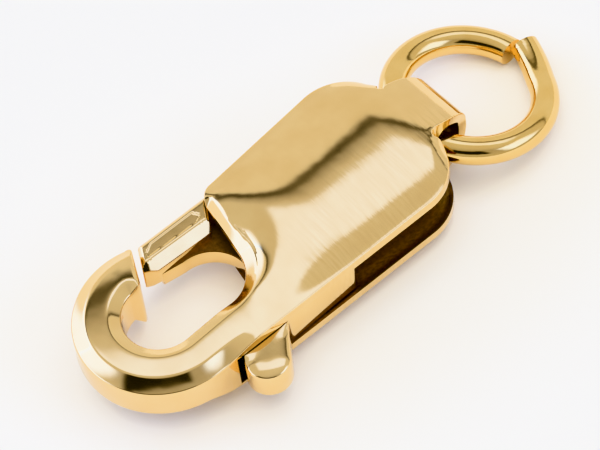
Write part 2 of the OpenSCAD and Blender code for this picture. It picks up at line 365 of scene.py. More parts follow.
def fill(outline, holes, depths, step, grid):
    """Triangles over an outline with holes: rings of points along its edges and a grid between."""
    loops = [np.array(outline)] + [np.array(hole) for hole in holes]
    points = list(loops)
    for i, loop in enumerate(loops):
        for ring in offset_rings(loop, depths, step, i > 0):
            for other in loops[:i] + loops[i + 1:]:
                ring = ring[distance(ring, other, True) > depths[0]]
            points.append(ring[inside(ring, loops[0])])
    low, high = loops[0].min(0), loops[0].max(0)
    rows = np.arange(low[1], high[1], grid * math.sqrt(0.75))
    cells = [np.stack([np.arange(low[0] + (i % 2) * grid / 2, high[0], grid),
                       np.full(len(np.arange(low[0] + (i % 2) * grid / 2, high[0], grid)), y)], 1)
             for i, y in enumerate(rows)]
    cells = np.vstack(cells)
    keep = inside(cells, loops[0])
    for hole in loops[1:]:
        keep &= ~inside(cells, hole)
    cells = cells[keep]
    for loop in loops:
        cells = cells[distance(cells, loop, True) > depths[-1] + grid * 0.6]
    points.append(cells)
    flat = np.vstack(points)
    edges, first = [], 0
    for loop in loops:
        edges += [(first + i, first + (i + 1) % len(loop)) for i in range(len(loop))]
        first += len(loop)
    verts, _, faces, origins, _, _ = delaunay_2d_cdt([Vector(p) for p in flat / MM], edges, [], 0, 1e-7)
    verts = np.array([tuple(v) for v in verts]) * MM
    for i, origin in enumerate(origins):
        if origin:
            verts[i] = flat[origin[0]]
    faces = np.array([f for f in faces if len(f) == 3])
    middle = verts[faces].mean(1)
    keep = inside(middle, loops[0])
    for hole in loops[1:]:
        keep &= ~inside(middle, hole)
    faces = faces[keep]
    a, b, c = (verts[faces[:, i]] for i in range(3))
    turn = (b - a)[:, 0] * (c - a)[:, 1] - (b - a)[:, 1] * (c - a)[:, 0]
    faces = faces[np.abs(turn) > 1e-16]
    turn = turn[np.abs(turn) > 1e-16]
    faces[turn < 0] = faces[turn < 0][:, ::-1]
    return verts, faces


def nearest(points, path, closed=False):
    """Distance of each point from a path, and the path's own left-hand normal at that place."""
    ends = np.roll(path, -1, 0) if closed else path[1:]
    starts = path if closed else path[:-1]
    along = ends - starts
    side = np.stack([-along[:, 1], along[:, 0]], 1)
    side /= np.maximum(np.linalg.norm(side, axis=1), 1e-12)[:, None]
    at_start = side + np.roll(side, 1, 0)
    if not closed:
        at_start[0] = side[0]
    at_end = np.roll(at_start, -1, 0)
    if not closed:
        at_end[-1] = side[-1]
    squares = np.maximum((along ** 2).sum(1), 1e-18)
    gaps, normals = [], []
    for first in range(0, len(points), 2000):
        chunk = points[first:first + 2000, None]
        share = np.clip(((chunk - starts) * along).sum(2) / squares, 0, 1)
        gap = np.sqrt(((chunk - (starts + share[..., None] * along)) ** 2).sum(2))
        best = gap.argmin(1)
        rows = np.arange(len(best))
        part = share[rows, best][:, None]
        normal = at_start[best] * (1 - part) + at_end[best] * part
        normals.append(normal / np.maximum(np.linalg.norm(normal, axis=1), 1e-9)[:, None])
        gaps.append(gap[rows, best])
    return np.concatenate(gaps), np.vstack(normals)


def ramp(value, width):
    """A soft step from 0 to the value itself, rounded over the width."""
    return (value + np.sqrt(value * value + width * width)) / 2


def rounded(corners, step):
    """A closed outline through corners, each with its own radius. Radius 0 keeps a point as it is."""
    corners = [tuple(c) if len(c) == 3 else (c[0], c[1], 0.0) for c in corners]
    knots = []
    for i, (x, y, r) in enumerate(corners):
        here = np.array([x, y])
        if r == 0:
            knots.append(here)
            continue
        before = np.array(corners[i - 1][:2]) - here
        after = np.array(corners[(i + 1) % len(corners)][:2]) - here
        before /= np.linalg.norm(before)
        after /= np.linalg.norm(after)
        half = math.acos(np.clip(before @ after, -1, 1)) / 2
        reach = r / math.tan(half)
        middle = (before + after) / np.linalg.norm(before + after)
        centre = here + middle * r / math.sin(half)
        count = max(3, int((math.pi - 2 * half) * r / (step * 0.3)))
        for share in np.linspace(0, 1, count + 1):
            chord = here + before * reach * (1 - share) + after * reach * share - centre
            knots.append(centre + chord / np.linalg.norm(chord) * r)
    points = []
    for start, end in zip(knots, knots[1:] + knots[:1]):
        if math.dist(start, end) > 1e-9:
            points.append(line(start, end, step))
    return np.vstack(points)


class Shell:
    """Gathers the faces of one closed metal shape, with the shading normals of its polished faces."""

    def __init__(self):
        self.verts, self.faces, self.normals, self.finishes, self.count = [], [], [], [], 0
        self.finish = 0

    def add(self, verts, faces, normals=None):
        """Adds faces in the finish that is set at the time."""
        first = self.count
        self.verts.append(np.asarray(verts))
        normals = np.zeros((len(verts), 3)) if normals is None else normals
        for face in faces:
            self.faces.append(tuple(int(i) + first for i in face))
            self.normals.append([normals[int(i)] for i in face])
            self.finishes.append(self.finish)
        self.count += len(verts)

    def skin(self, verts, faces, height, normal, low=False):
        """Adds a filled outline at its height, turned over for the lower side."""
        turn = -1 if low else 1
        points = np.column_stack([verts, turn * height])
        shading = normal * np.array([1, 1, turn])
        self.add(points, faces[:, ::-1] if low else faces, shading)

    def object(self, name, sharp=40):
        """The mesh object of the gathered faces, with its seams joined."""
        points = np.vstack(self.verts)
        _, kept, place = np.unique(np.round(points / 1e-8), axis=0, return_index=True, return_inverse=True)
        place = place.ravel()
        faces, loops, finishes = [], [], []
        for face, shading, finish in zip(self.faces, self.normals, self.finishes):
            ring = [int(place[i]) for i in face]
            kept_corners = [i for i in range(len(ring)) if ring[i] != ring[i - 1]]
            if len(kept_corners) > 2 and len({ring[i] for i in kept_corners}) == len(kept_corners):
                faces.append([ring[i] for i in kept_corners])
                loops += [shading[i] for i in kept_corners]
                finishes.append(finish)
        mesh = bpy.data.meshes.new(name)
        mesh.from_pydata((points[kept] + np.array([0, 0, MID_Z])).tolist(), [], faces)
        piece = bpy.data.objects.new(name, mesh)
        bpy.context.scene.collection.objects.link(piece)
        mesh.materials.append(material("polished_gold"))
        # The second finish: unpolished gold, darkened with painted shade for the inside faces
        mesh.materials.append(material("unpolished_gold_painted_shade"))
        mesh.polygons.foreach_set("material_index", finishes)
        set_normals(mesh, loops, sharp)
        return piece


def set_normals(mesh, loops, sharp):
    """Smooth faces, edges sharp from an angle on, and given normals where they are not zero."""
    mesh.polygons.foreach_set("use_smooth", [True] * len(mesh.polygons))
    mesh.set_sharp_from_angle(angle=math.radians(sharp))
    mesh.normals_split_custom_set([tuple(n) for n in loops])
    mesh.update()


def strip(shell, rows, loop=False, normals=None):
    """Adds a wall of quads between rows of points that run the same way."""
    rows = [np.asarray(row) for row in rows]
    count = len(rows[0])
    faces = []
    for r in range(len(rows) - 1):
        for i in range(count if loop else count - 1):
            j = (i + 1) % count
            faces.append((r * count + i, r * count + j, (r + 1) * count + j, (r + 1) * count + i))
    shell.add(np.vstack(rows), faces, None if normals is None else np.vstack(normals))


def at_height(points, height):
    """Plan points raised to a height."""
    return np.column_stack([points, np.broadcast_to(height, len(points))])


def shade(points, height_of, edge, fillet):
    """Heights and shading normals of a polished top with a rounded edge."""
    gap, side = nearest(points, edge)
    step = 0.004 * MM
    base = height_of(points)
    slope_x = (height_of(points + [step, 0]) - height_of(points - [step, 0])) / (2 * step)
    slope_y = (height_of(points + [0, step]) - height_of(points - [0, step])) / (2 * step)
    normal = np.column_stack([-slope_x, -slope_y, np.ones(len(points))])
    normal /= np.linalg.norm(normal, axis=1)[:, None]
    lean = np.clip((fillet - gap) / fillet, 0, 1)
    height = base - fillet * (1 - np.sqrt(np.maximum(1 - lean * lean, 0)))
    outward = np.column_stack([-side, np.zeros(len(points))])
    normal = normal * np.sqrt(np.maximum(1 - lean * lean, 0))[:, None] + outward * lean[:, None]
    return height, normal / np.linalg.norm(normal, axis=1)[:, None]


class ClaspPlan:
    """Plan of the clasp's body, worked out from its settings."""

    def __init__(self, s):
        self.s = s
        self.taper = (s.tail_w - s.front_w) / 2 / (2 * s.lip_x)
        self.bend = np.array([s.lip_x + s.hook_reach, 0.0])
        self.bend[1] = self.edge_y(self.bend[0]) - s.hook_r
        self.bend_in = s.hook_r - s.bar_w
        self.spine_in = self.bend[1] + self.bend_in
        self.spine_rear = s.lip_x + self.bend_in
        self.wall_y = self.spine_in + s.inner_wall
        self.rim_low = s.slot_h / 2
        self.rim_high = self.rim_low + s.sheet
        self.hook_top = s.hook_h / 2
        self.make_outline()

    def edge_y(self, x):
        """Distance of the body's side from its middle line."""
        return self.s.front_w / 2 + self.taper * (self.s.lip_x - x)

    def make_outline(self):
        """The outline, anticlockwise from the hook's tip, in stretches."""
        s = self.s
        step = s.step
        lean = math.degrees(math.atan(self.taper))
        tip_deg = -90 - math.degrees(s.tip_angle)
        cut = np.array([math.sin(s.tip_cut), math.cos(s.tip_cut)])
        back = s.hook_r * toward(tip_deg)
        corner = self.bend + back
        b = back @ cut
        inner = corner + cut * (-b - math.sqrt(b * b - (back @ back - self.bend_in ** 2)))
        in_deg = bearing(inner - self.bend)
        turn = math.degrees(s.tip_out * 1.3 / s.hook_r)
        turn_in = math.degrees(s.tip_in * 1.5 / self.bend_in)
        outer = arc(self.bend, s.hook_r, tip_deg + turn, 90 - lean, step)
        first = outer[0]
        bend_arc = arc(self.bend, self.bend_in, 90, in_deg + turn_in, step)
        last = bend_arc[-1]
        tip_side = rounded_tip(last, inner, corner, first, (s.tip_in, s.tip_out), step)
        side_end = np.array([s.slot_front, self.edge_y(s.slot_front)])
        across = np.array([math.sin(math.radians(lean)), math.cos(math.radians(lean))])
        top_start = self.bend + s.hook_r * across
        tail = -s.lip_x
        tail_c = np.array([tail + s.tail_r, self.edge_y(tail) - s.tail_r])
        notch_c = np.array([tail, s.strap_w / 2 + s.notch_r])
        tail_start = tail_c + s.tail_r * across
        gap = notch_c - tail_c
        span = np.linalg.norm(gap)
        a = (s.tail_r ** 2 - s.notch_r ** 2 + span ** 2) / (2 * span)
        h = math.sqrt(s.tail_r ** 2 - a * a)
        unit = gap / span
        meet = tail_c + unit * a + h * np.array([unit[1], -unit[0]])
        if meet[1] < notch_c[1]:
            meet = tail_c + unit * a - h * np.array([unit[1], -unit[0]])
        meet_deg = bearing(meet - tail_c) % 360
        notch_deg = bearing(meet - notch_c)
        corner_arc = arc(tail_c, s.tail_r, 90 - lean, meet_deg, step)
        notch_arc = arc(notch_c, s.notch_r, notch_deg, -90, step * 0.6)
        half = s.strap_w / 2
        near = np.array([0, 0.006, 0.018, 0.035]) * MM
        middle = np.linspace(half - 0.06 * MM, 0.06 * MM - half, 30)
        self.strap_y = np.concatenate([half - near, middle, near[::-1] - half])
        root = np.column_stack([np.full(len(self.strap_y) - 1, tail), self.strap_y[:-1]])
        flip = np.array([1, -1])
        side_tail = np.vstack([line(side_end, tail_start, step), corner_arc, notch_arc])
        low_tail = np.vstack([[[tail, -half]], notch_arc[::-1] * flip, corner_arc[::-1] * flip])[:-1]
        shoulder_c = np.array([s.lip_x - s.shoulder_r, -self.edge_y(s.lip_x) + s.shoulder_r])
        forward = math.degrees(s.lip_lean)
        shoulder = arc(shoulder_c, s.shoulder_r, -90 - lean, -forward, step * 0.5)
        gate_side = line(corner_arc[0] * flip, shoulder[0], step)
        lip_start = shoulder_c + s.shoulder_r * np.array([math.cos(s.lip_lean), -math.sin(s.lip_lean)])
        meet_x = lip_start[0] + (self.spine_in - lip_start[1]) * math.tan(s.lip_lean)
        self.join_x = meet_x + s.lip_r / math.tan(math.radians(45 + forward / 2))
        quarter = arc((self.join_x, self.spine_in - s.lip_r), s.lip_r, 180 - forward, 90, step)
        lip = line(lip_start, quarter[0], step)
        spine = line((self.join_x, self.spine_in), (self.bend[0], self.spine_in), step)
        knob_side = line(top_start, side_end, step)
        self.parts = {
            "hook": np.vstack([outer, knob_side]),
            "side": side_tail,
            "root": root,
            "gate": np.vstack([low_tail, gate_side, shoulder, lip, quarter]),
            "opening": np.vstack([spine, bend_arc[:-1], tip_side]),
        }
        self.outline = np.vstack(list(self.parts.values()))
        self.starts = dict(zip(self.parts, np.cumsum([0] + [len(p) for p in self.parts.values()])))
        self.outer_edge = np.vstack([outer, knob_side, line(side_end, tail_start, step), [tail_start]])
        self.inner_edge = np.vstack([lip, quarter, spine, bend_arc])
        self.tip_edge = np.array([inner, corner])
        main_tail = arc(tail_c, s.tail_r, 90 - lean, 180, step)
        end_y = main_tail[-1][1]
        self.dome_edge = np.vstack([
            [top_start], line(side_end, tail_start, step), main_tail,
            line((tail, end_y), (tail, -end_y), step), main_tail[::-1] * flip, gate_side, shoulder[:-2]])
        free = [self.parts[name] for name in ("gate", "opening", "hook", "side")]
        strap_end = tail - s.strap_l
        self.free_edge = np.vstack([[[strap_end, -half]], *free, [[tail, half], [strap_end, half]]])

    def low_height(self, points):
        """Depth of the polished underside below the middle plane, under each point."""
        return self.height(points, True)

    def height(self, points, low=False):
        """Height of the polished top over each point."""
        s = self.s
        x, y = points[:, 0], points[:, 1]
        side = np.abs(y) / self.edge_y(x)
        crown = s.crown * side ** s.crown_power
        rise = BODY_HIGH.z - MID_Z - self.rim_high
        gap = distance(points, self.dome_edge)
        share = np.clip(gap / s.edge_run, 0, 1)
        edge = 1 - (1 - share) ** s.edge_power
        tail = np.clip((x + s.tail_start) / s.tail_reach, -1, 0)
        tail = ((BODY_HIGH.z - MID_Z) * np.sqrt(1 - tail * tail) - self.rim_high) / rise
        at_strap = (1 - stretch(np.abs(y), "beside the strap")) * (1 - stretch(x, "ahead of the strap"))
        edge = edge + (tail - edge) * at_strap
        fall = 1 - s.front_share * np.clip((x - s.front_start) / s.front_run, 0, 1.4) ** 3
        spine = 1 - s.spine_share * smooth(x, s.front_start, s.spine_end)
        mix = stretch(y, "lip to spine")
        front = np.maximum(fall * (1 - mix) + spine * mix, 0.15)
        body = self.rim_high + (rise - crown) * front * edge
        beside = np.clip(1 - (distance(points, self.inner_edge) - 0.25 * MM) / s.lip_roll, 0, 1)
        body -= s.lip_fall * beside ** 2 * stretch(y, "lip roll begins") * (1 - stretch(x, "lip roll ends"))
        out_gap = distance(points, self.outer_edge)
        in_gap = distance(points, self.inner_edge)
        tip_gap = distance(points, self.tip_edge)
        ahead = stretch(x, "body to hook")
        at_edge = stretch(x, "body to hook at the edge")
        ahead = at_edge + (ahead - at_edge) * smooth(out_gap, 0, 0.5 * MM)
        ahead = np.where(y < 0, stretch(x, "gate side to hook"), ahead)
        across = np.clip(out_gap / s.bar_w, 0, 1)
        hook = self.hook_top - s.hook_fall * (1 - across) ** 1.3
        base = body * (1 - ahead) + hook * ahead
        out_on = np.where(y < 0, 1.0, at_edge)
        soft = s.ridge
        rim = self.rim_low + s.lip_edge
        out_h = out_on * (base - rim)
        ahead_in = stretch(x, "inner bevel lifts")
        rim = rim + (self.hook_top - s.bevel_in_h - rim) * ahead_in
        slope = s.bevel_slope + (s.bevel_in_h / s.bevel_in - s.bevel_slope) * ahead_in
        past_lip = np.maximum(stretch(y, "lip bevel across"), stretch(x, "lip bevel along"))
        slope += (s.lip_slope - slope) * (1 - past_lip)
        if low:
            at_tip, at_bend = stretch(x, "low bevel at the tip"), stretch(x, "low bevel at the bend")
            hook_only = np.where(y < 0, at_tip, at_bend)
            out_h += s.bevel_low * hook_only
            rim -= s.bevel_low * hook_only
            slope += s.bevel_low / s.bevel_in * hook_only
        drop = out_h / s.bevel_out * ramp(s.bevel_out - out_gap, soft)
        drop = drop + ramp(base - rim - slope * in_gap, soft)
        tip_drop = ramp(s.bevel_tip - tip_gap, soft)
        near_tip = stretch(-y, "tip bevel")
        drop = drop + (ramp(tip_drop - drop, soft) - ramp(-drop, soft)) * near_tip
        return base - drop


def rounded_tip(before, inner, corner, after, r, step):
    """Points round the hook's cut tip, from the inner arc to the outer one."""
    far = (before + after) / 2 + [9 * MM, 0]
    points = rounded([tuple(before), (*inner, r[0]), (*corner, r[1]), tuple(after), tuple(far)], step)
    start = int(np.argmin(np.linalg.norm(points - before, axis=1)))
    points = np.roll(points, -start, 0)
    end = int(np.argmin(np.linalg.norm(points - after, axis=1)))
    return points[:end]


class CLASP_OT_body(bpy.types.Operator):
    """Builds the two domed plates, the spine, the hook and the strap as one skin: polished outside, and
    inside in unpolished gold darkened with painted shade
    """
    bl_idname = "clasp.body"
    bl_label = "Clasp body"

    def execute(self, context):
        s = settings("clasp_body")
        plan = ClaspPlan(s)
        shell = Shell()
        verts, faces = fill(plan.outline, [], [row * MM for row in EDGE_ROWS], s.step, 0.09 * MM)
        height, normal = shade(verts, plan.height, plan.free_edge, s.fillet)
        shell.skin(verts, faces, height, normal)
        height, normal = shade(verts, plan.low_height, plan.free_edge, s.fillet)
        shell.skin(verts, faces, height, normal, low=True)
        rim, _ = shade(plan.outline, plan.height, plan.free_edge, s.fillet)
        rim_low, _ = shade(plan.outline, plan.low_height, plan.free_edge, s.fillet)
        low = plan.rim_low
        for first, last in (("side", "root"), ("gate", "opening")):
            part = slice(plan.starts[first], plan.starts[last] + 1)
            points = plan.outline[part]
            strip(shell, [at_height(points, low), at_height(points, rim[part])])
            strip(shell, [at_height(points, -rim_low[part]), at_height(points, -low)])
        order = np.r_[plan.starts["opening"]:len(plan.outline), 0:plan.starts["side"] + 1]
        points, deep, high = plan.outline[order], rim_low[order], rim[order]
        levels = (-deep, -np.minimum(low, deep), np.minimum(low, high), high)
        strip(shell, [at_height(points, level) for level in levels])
        slot = plan.outline[plan.starts["side"]:plan.starts["opening"]]
        corners = [(plan.join_x, plan.spine_in), (plan.spine_rear, plan.spine_in),
                   (plan.spine_rear, plan.wall_y), (s.slot_front, plan.wall_y), tuple(slot[0])]
        inner = np.vstack([line(a, b, s.step * 2) for a, b in zip(corners, corners[1:])] + [slot[:1]])
        # From here on, finish 1: unpolished gold whose dark brown is painted shade, for the slot's walls
        # and the plates' hollow undersides
        shell.finish = 1
        strip(shell, [at_height(inner, low), at_height(inner, -low)])
        self.roofs(shell, plan, np.vstack([slot, inner[:-1]]))
        self.strap(shell, plan)
        piece = shell.object("body_skin")
        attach(piece, "shell")
        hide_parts("clasp_body")
        return {"FINISHED"}

    def roofs(self, shell, plan, outline):
        """The hollow undersides of both plates, with the blind holes that hold the pin."""
        s = plan.s
        seat = settings("lever_parts").pin_hole - 0.03 * MM
        pivot = np.array(PIVOT[:2])
        hole = arc(pivot, seat, 360, 0, 0.08 * MM)
        verts, faces = fill(outline, [hole], [0.12 * MM, 0.3 * MM], 0.12 * MM, 0.16 * MM)
        gap = distance(verts, plan.free_edge)
        hollow = smooth(gap, 0.1 * MM, 0.4 * MM)
        hollow *= smooth(np.linalg.norm(verts - pivot, axis=1), 0.68 * MM, 0.8 * MM)
        hollow *= smooth(s.lip_x - verts[:, 0], 0.38 * MM, 0.5 * MM)
        roof = plan.rim_low + (plan.height(verts) - plan.rim_high) * hollow
        shell.add(at_height(verts, roof), faces[:, ::-1])
        shell.add(at_height(verts, -roof), faces)
        top = BODY_HIGH.z - MID_Z - 0.5 * MM
        for turn in (1, -1):
            ring = hole if turn > 0 else hole[::-1]
            strip(shell, [at_height(ring, turn * plan.rim_low), at_height(ring, turn * top)], loop=True)
            count = len(ring)
            points = np.vstack([at_height(ring, turn * top), [[*pivot, turn * top]]])
            shell.add(points, [(i, (i + 1) % count, count) for i in range(count)])

    def strap(self, shell, plan):
        """The strap, a tongue of the upper plate folded down and back to the lower one."""
        s = plan.s
        start, bend = -s.lip_x, -s.lip_x - s.strap_l
        y = plan.strap_y
        lean = np.clip((s.fillet - (s.strap_w / 2 - np.abs(y))) / s.fillet, 0, 1)
        flat = np.sqrt(1 - lean * lean)
        drop = s.fillet * (1 - flat)
        outer, inner, shading = [], [], []

        high = BODY_HIGH.z - MID_Z
        hollow = smooth(s.strap_w / 2 - np.abs(y), 0.1 * MM, 0.4 * MM)
        stops = [(x, 90.0) for x in np.linspace(start, bend, 9)[:-1]]
        stops += [(bend, degrees) for degrees in np.linspace(90, 180, 37)]
        for i, (x, degrees) in enumerate(stops):
            share = 1 - s.strap_taper * smooth(i, 0, len(stops) * 1.15)
            way = toward(degrees)
            shift, reach = x + s.tail_start, s.tail_reach
            a = way[0] ** 2 / reach ** 2 + way[1] ** 2 / high ** 2
            b = way[0] * shift / reach ** 2
            radius = (-b + math.sqrt(b * b - a * (shift ** 2 / reach ** 2 - 1))) / a
            place = np.array([x, 0]) + way * radius
            normal = np.array([(place[0] + s.tail_start) / reach ** 2, place[1] / high ** 2])
            normal /= np.linalg.norm(normal)
            top = place[None] - normal * drop[:, None]
            if i == 0:
                top[:, 0] = x
                top[:, 1] = plan.height(np.column_stack([np.full(len(y), x), y])) - drop
            thin = 1 - (1 - hollow) * (1 - smooth(i, 0, 8))
            outside = top[:, 1] if degrees == 90 else radius
            depth = plan.rim_low + (outside - plan.rim_high) * thin
            outer.append(np.column_stack([top[:, 0], y * share, top[:, 1]]))
            inner.append(np.column_stack([x + way[0] * depth, y * share, way[1] * depth]))
            shading.append(np.column_stack([normal[0] * flat, np.sign(y) * lean, normal[1] * flat]))
        for rows in (outer, inner, shading):
            rows += [row * [1, 1, -1] for row in rows[-2::-1]]
        shell.finish = 0
        strip(shell, outer[::-1], normals=shading[::-1])
        for column, low_row, high_row in ((0, inner, outer), (-1, outer, inner)):
            strip(shell, [np.array([row[column] for row in rows]) for rows in (low_row, high_row)])
        # The strap's inner face in unpolished gold, darkened with painted shade
        shell.finish = 1
        strip(shell, inner)
        shell.finish = 0


class LeverPlan:
    """Plans of the lever's gate, web, arm and knob, worked out from its settings."""

    def __init__(self, s, body):
        self.s, self.body = s, body
        self.gate_in = s.gate_out + s.gate_w
        self.rear = np.array([s.rear_x, (body.spine_in + self.gate_in) / 2])
        self.rear_r = (body.spine_in - self.gate_in) / 2
        self.arm_in = body.wall_y + s.gap
        self.knob = np.array([s.knob_x, body.edge_y(s.knob_x) + s.knob_out])

    def gate_corners(self):
        """Corners of the raised gate: outer rear, outer front, inner front, inner cut, inner rear."""
        s = self.s
        front = s.gate_out - math.tan(s.gate_turn) * (s.gate_end - s.gate_rear)
        inner = front + s.tip_w
        return np.array([(s.gate_rear, s.gate_out), (s.gate_end, front), (s.gate_tip, inner),
                         (s.gate_tip - s.gate_cut, inner + s.gate_cut * 0.55),
                         (s.gate_rear + s.gate_slant, self.gate_in)])

    def gate(self):
        """Outline of the raised gate."""
        radii = (0.02, 0.1, 0.05, 0.1, 0.06)
        return rounded([(*corner, r * MM) for corner, r in zip(self.gate_corners(), radii)], self.s.step)

    def web(self):
        """Outline of the low web between the gate and the arm."""
        s = self.s
        side = s.gate_out + 0.03 * MM
        curve = arc(self.rear, self.rear_r, 268, 118, s.step)
        behind = PIVOT[0] + 0.3 * MM
        rear = self.body.spine_rear - 2 * s.gap
        inner = self.gate_corners()[3]
        corners = [(behind, side), (inner[0] - 0.1 * MM, side), (inner[0] - 0.1 * MM, inner[1] + 0.01 * MM),
                   *map(tuple, curve), (rear, self.body.spine_in + 0.1 * MM),
                   (rear, self.arm_in + 0.2 * MM), (behind, self.arm_in + 0.2 * MM)]
        return rounded(corners, s.step)

    def arm(self):
        """Outline of the hub round the pin, the thumb arm and its knob."""
        s, body = self.s, self.body
        pivot_x, pivot_y = PIVOT[0], PIVOT[1]
        rear = body.spine_rear - 2 * s.gap
        flank = math.radians(90) + s.flank_angle
        neck = -s.neck_angle
        rim_x = s.knob_x - s.flank_l
        knob = arc(self.knob, s.knob_r, math.degrees(neck), math.degrees(flank), s.step)
        corners = [
            (pivot_x - s.back / 2, s.gate_out, 0.1 * MM), (body.s.lip_x - 0.25 * MM, s.gate_out, 0.0),
            (body.s.lip_x - 0.25 * MM, 0.1 * MM, 0.3 * MM), (rear, body.spine_in + 0.05 * MM, 0.05 * MM),
            (rear, self.arm_in, 0.1 * MM), (s.knob_x + s.neck_front, self.arm_in, 0.1 * MM),
            (s.knob_x + s.neck_front + 0.02 * MM, body.edge_y(s.knob_x) - 0.05 * MM, 0.15 * MM),
            *map(tuple, knob),
            (self.knob[0] + s.knob_r * math.cos(flank), self.knob[1] + s.knob_r * math.sin(flank), 0.0),
            (rim_x, body.edge_y(rim_x) - s.side_inset * 0.25, 0.25 * MM),
            (pivot_x - s.back / 2, body.edge_y(pivot_x) - s.side_inset * 0.6, 0.25 * MM),
            (pivot_x - s.back, self.arm_in, 0.25 * MM), (pivot_x - s.back, pivot_y, 0.25 * MM)]
        return rounded(corners, s.step)


def block(shell, outline, holes, top_of, low_of, fillet, step, depths=(), grid=0.14, top_finish=0):
    """Adds a closed block over an outline, with polished edges above and below."""
    edges = [np.vstack([loop, loop[:1]]) for loop in (outline, *holes)]
    rings = sorted({fillet * f for f in (0.15, 0.5, 1.0)} | {d * MM for d in depths})
    verts, faces = fill(outline, holes, rings, step, grid * MM)

    def finish(points, height_of):
        best = None
        for edge in edges:
            gap = distance(points, edge)
            height, normal = shade(points, height_of, edge, fillet)
            if best is None:
                best = [gap, height, normal]
            else:
                closer = gap < best[0]
                best = [np.where(closer, gap, best[0]), np.where(closer, height, best[1]),
                        np.where(closer[:, None], normal, best[2])]
        return best[1], best[2]

    top, top_normal = finish(verts, top_of)
    low, low_normal = finish(verts, low_of)
    shell.finish = top_finish
    shell.skin(verts, faces, top, top_normal)
    shell.finish = 0
    shell.skin(verts, faces, low, low_normal, low=True)
    for loop in (outline, *holes):
        high, _ = finish(loop, top_of)
        deep, _ = finish(loop, low_of)
        strip(shell, [at_height(loop, -deep), at_height(loop, high)], loop=True)


class CLASP_OT_lever(bpy.types.Operator):
    """Builds the lever: the gate, the low web behind it, the thumb arm and its knob"""
    bl_idname = "clasp.lever"
    bl_label = "Spring lever"

    def execute(self, context):
        s = settings("lever_parts")
        plan = LeverPlan(s, ClaspPlan(settings("clasp_body")))
        shell = Shell()
        soft = 0.018 * MM

        def flat(height):
            return lambda points: np.full(len(points), height)

        corners = plan.gate_corners()
        edges = []
        for start, end in zip(corners, np.roll(corners, -1, 0)):
            along = (end - start) / np.linalg.norm(end - start)
            edges.append((start, np.array([-along[1], along[0]])))

        def gate_top(points):
            depth = [(points - start) @ normal for start, normal in edges]
            drop = np.zeros(len(points))
            for gap, (width, slope) in zip(depth, GATE_BEVELS):
                drop = np.maximum(drop, ramp((width * MM - gap) * slope, soft))
            outer, front, _, inner, rear = depth
            corners = ((outer + rear, 0.42), (inner + rear, 0.5), (outer + front, 0.36))
            sides = [(outer, 0.15), (front, 0.19), (inner, 0.36), (rear, 0.16)]
            sides += [(both * 0.7, inset) for both, inset in corners]
            panel = np.minimum.reduce([side - inset * MM for side, inset in sides])
            return s.gate_h - drop - s.panel_sink * smooth(panel, 0, 0.05 * MM)

        def arm_top(points):
            x, y = points[:, 0], points[:, 1]
            rim = plan.body.edge_y(x)
            out = distance(points, plan.arm(), True)
            knob = smooth(y - rim, -0.05 * MM, 0.3 * MM)
            round_off = np.clip((s.knob_dome - out) / s.knob_dome, 0, 1)
            return s.half_h - knob * 0.2 * MM * (1 - np.sqrt(1 - 0.98 * round_off ** 2))

        hole = arc(PIVOT[:2], s.pin_hole, 360, 0, 0.07 * MM)
        web_low = flat(s.half_h - 0.02 * MM)
        block(shell, plan.arm(), [hole], arm_top, arm_top, s.fillet, s.step, ARM_ROWS, 0.12)
        # The web's top in unpolished gold, darkened with painted shade
        block(shell, plan.web(), [], flat(s.web_top), web_low, 0.03 * MM, s.step, top_finish=1)
        block(shell, plan.gate(), [], gate_top, gate_top, 0.02 * MM, s.step, GATE_ROWS, 0.05)
        piece = shell.object("spring_lever")
        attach(piece, "lever")
        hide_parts("lever")
        return {"FINISHED"}


def node(tree, kind, values=None, **attributes):
    """Adds a node, with its attributes and the values of its unlinked sockets."""
    made = tree.nodes.new(kind)
    for name, value in attributes.items():
        setattr(made, name, value)
    for key, value in (values or {}).items():
        made.inputs[key].default_value = value
    return made


